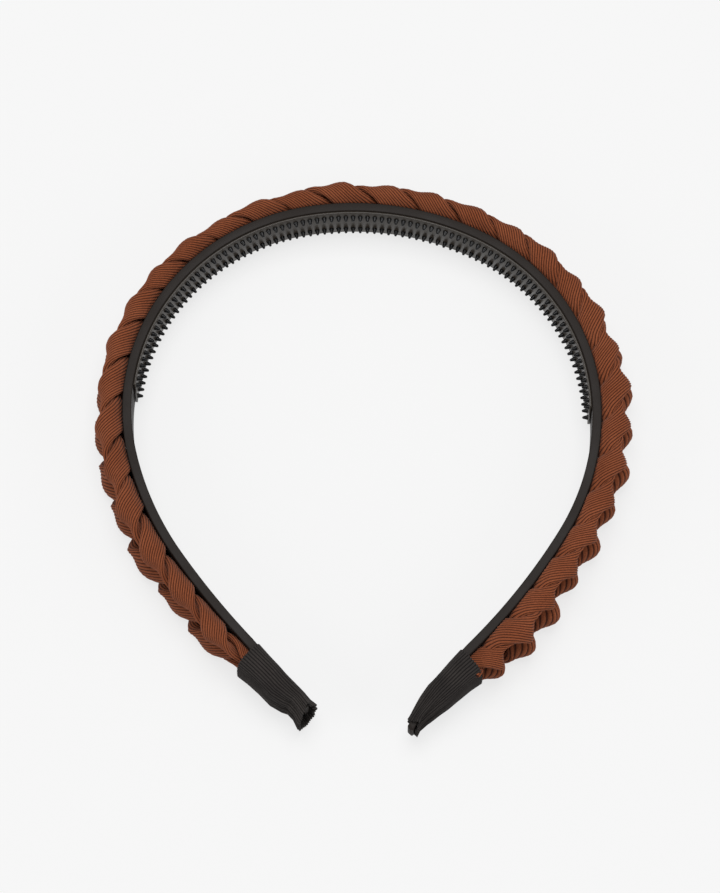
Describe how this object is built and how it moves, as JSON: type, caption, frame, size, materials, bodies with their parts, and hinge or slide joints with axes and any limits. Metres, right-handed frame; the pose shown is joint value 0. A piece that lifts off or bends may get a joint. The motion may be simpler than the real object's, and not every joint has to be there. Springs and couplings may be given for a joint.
{
  "type": "braided headband",
  "caption": "Springy hair band: a flat plastic hoop with a toothed comb liner, a plait of ribbed fabric along its outer face and gathered fabric sleeves on its ends.",
  "frame": {"origin": "middle of the underside of the whole box, on the surface that the band lies on", "axes": "+Y from the open ends to the crown, +Z across the hoop's width, +X to the right arm"},
  "size_m": [0.139, 0.1532, 0.0141],
  "materials": {
    "hoop_plastic": "matte black moulded plastic",
    "comb_plastic": "glossy black moulded plastic",
    "braid_fabric": "rust-brown ribbed knit",
    "sleeve_fabric": "black ribbed knit"
  },
  "bodies": {
    "root": {"hoop": "hoop_plastic", "comb": "comb_plastic", "strand_a": "braid_fabric", "strand_b": "braid_fabric", "strand_c": "braid_fabric", "end_sleeve_left": "sleeve_fabric", "end_sleeve_right": "sleeve_fabric"}
  },
  "joints": []
}
